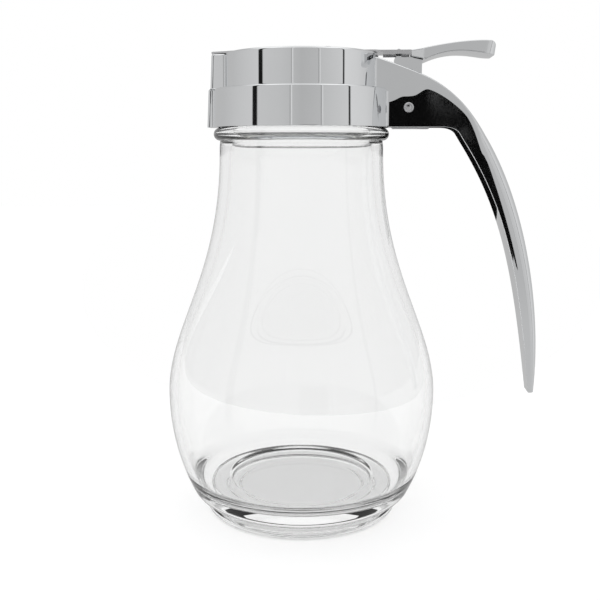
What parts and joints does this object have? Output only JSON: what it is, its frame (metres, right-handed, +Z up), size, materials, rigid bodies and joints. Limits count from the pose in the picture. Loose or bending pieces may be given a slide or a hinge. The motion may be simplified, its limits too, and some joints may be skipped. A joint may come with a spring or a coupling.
{
  "type": "syrup dispenser",
  "caption": "Teardrop glass syrup dispenser with a screw-on chrome top, a curved handle and a thumb lever that slides a gate back from the pour spout.",
  "frame": {"origin": "on the jar's axis, at the table", "axes": "+Z up, +X towards the handle, -X towards the pour spout"},
  "size_m": [0.1209, 0.0882, 0.1523],
  "materials": {
    "clear_glass": "clear moulded glass, glossy, with faint mould waviness",
    "chrome_plate": "bright chrome plating on a zinc die casting",
    "stainless_steel": "plain stainless sheet and turned steel",
    "spring_steel": "drawn stainless spring wire",
    "gasket_rubber": "off-white food-grade silicone, matte"
  },
  "bodies": {
    "jar": {"glass_jar": "clear_glass"},
    "seal": {"sealing_gasket": "gasket_rubber"},
    "cap": {"pourer_cap": "chrome_plate", "guide_screw_front": "stainless_steel", "guide_screw_rear": "stainless_steel", "guide_washer_front": "stainless_steel", "guide_washer_rear": "stainless_steel", "pivot_pin": "stainless_steel", "spring_cover": "stainless_steel", "return_spring": "spring_steel"},
    "lever": {"thumb_lever": "chrome_plate"},
    "gate": {"gate_slide": "stainless_steel"}
  },
  "joints": [
    {"name": "cap_lift", "type": "slide", "parent": "jar", "child": "seal", "axis": [0, 0, 1], "range_m": [0, 0.016]},
    {"name": "cap_turn", "type": "hinge", "parent": "seal", "child": "cap", "pos_m": [0, 0, 0.13], "axis": [0, 0, 1], "range_deg": [0, 1440]},
    {"name": "lever_press", "type": "hinge", "parent": "cap", "child": "lever", "pos_m": [0.0337, 0, 0.1322], "axis": [0, 1, 0], "range_deg": [0, 20], "stiffness_Nm_per_rad": 0.15, "springref_deg": -34.38, "deforming": ["return_spring"]},
    {"name": "gate_travel", "type": "slide", "parent": "cap", "child": "gate", "axis": [1, 0, 0], "range_m": [0, 0.0061]}
  ],
  "couplings": [
    {"joint": "cap_lift", "follows": "cap_turn", "m_per_rad": 0.0006366},
    {"joint": "gate_travel", "follows": "lever_press", "m_per_rad": 0.0173}
  ]
}
